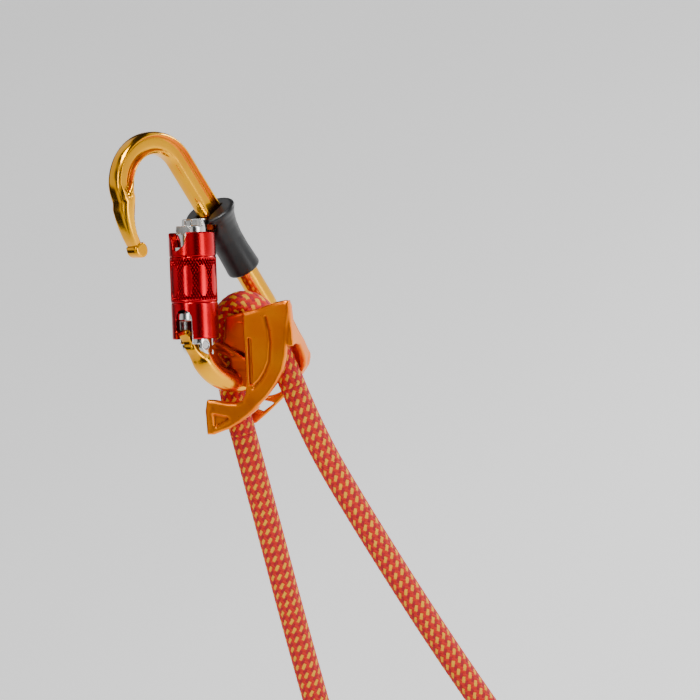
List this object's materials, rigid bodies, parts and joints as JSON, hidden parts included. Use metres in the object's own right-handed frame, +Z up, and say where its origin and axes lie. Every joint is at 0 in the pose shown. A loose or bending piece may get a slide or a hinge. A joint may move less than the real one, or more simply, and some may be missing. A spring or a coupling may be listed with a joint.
{
  "type": "rope_grab_adjuster",
  "caption": "Rope grab for work positioning: gold twist-lock carabiner, red gate sleeve, orange cam adjuster and a red and yellow rope with a sewn eye.",
  "frame": {"origin": "The inner top of the carabiner's hook, at the middle of its thickness, where the part hangs from an anchor.", "axes": "+Z up along the carabiner's spine. +X from the gate to the spine. +Y to the back, away from the adjuster's front plate."},
  "size_m": [0.135, 0.1097, 0.3382],
  "materials": {
    "gold_anodised": "polished",
    "red_anodised": "satin",
    "orange_anodised": "satin",
    "dark_orange_anodised": "satin",
    "steel": "satin",
    "black_rubber": "matte",
    "rope_sheath": "woven",
    "stitching_cover": "matte",
    "black_plastic": "matte"
  },
  "bodies": {
    "carabiner": {"carabiner_frame": "gold_anodised", "gate_hinge_pin": "steel", "spine_grip": "black_rubber"},
    "gate": {"gate_body": "steel", "gate_spring": "steel", "sleeve_retaining_ring": "steel", "sleeve_spring": "steel"},
    "push_rod": {"gate_push_rod": "steel"},
    "guide": {"sleeve_guide_ring": "steel"},
    "sleeve": {"locking_sleeve": "red_anodised"},
    "cam_eye": {"cam": "dark_orange_anodised", "cam_bush": "steel"},
    "adjuster": {"adjuster_frame": "orange_anodised", "cam_pivot_pin": "dark_orange_anodised", "cam_washers": "black_plastic", "rope_bight": "rope_sheath", "load_strand": "rope_sheath", "free_strand": "rope_sheath", "load_eye_cover": "stitching_cover", "load_eye_loop": "rope_sheath", "load_eye_thimble": "black_plastic", "free_end_cover": "stitching_cover"}
  },
  "joints": [
    {"name": "gate_hinge", "type": "hinge", "parent": "carabiner", "child": "gate", "pos_m": [-0.0232, 0, -0.0762], "axis": [0, 1, 0], "range_deg": [-36, 0], "stiffness_Nm_per_rad": 0.05, "springref_deg": -42.97},
    {"name": "push_rod_slide", "type": "slide", "parent": "gate", "child": "push_rod", "axis": [0.5878, 0, 0.809], "range_m": [-0.00185, 0]},
    {"name": "sleeve_lift", "type": "slide", "parent": "gate", "child": "guide", "axis": [0.5878, 0, 0.809], "range_m": [0, 0.0022], "stiffness_N_per_m": 300, "springref_m": 0.003},
    {"name": "sleeve_twist", "type": "hinge", "parent": "guide", "child": "sleeve", "pos_m": [-0.0232, 0, -0.0762], "axis": [0.5878, 0, 0.809], "range_deg": [0, 60], "stiffness_Nm_per_rad": 0.01, "springref_deg": 68.75},
    {"name": "adjuster_swing", "type": "hinge", "parent": "carabiner", "child": "cam_eye", "pos_m": [-0.0012, 0, -0.10435], "axis": [0.9925, 0, 0.1219], "range_deg": [-5, 30]},
    {"name": "cam_pivot", "type": "hinge", "parent": "cam_eye", "child": "adjuster", "pos_m": [0.0003, -0.0038, -0.0843], "axis": [0.8225, 0.4504, -0.3473], "range_deg": [-6, 0], "stiffness_Nm_per_rad": 0.3, "springref_deg": 2.86}
  ],
  "couplings": [
    {"joint": "push_rod_slide", "follows": "gate_hinge", "m_per_rad": 0.002913}
  ]
}
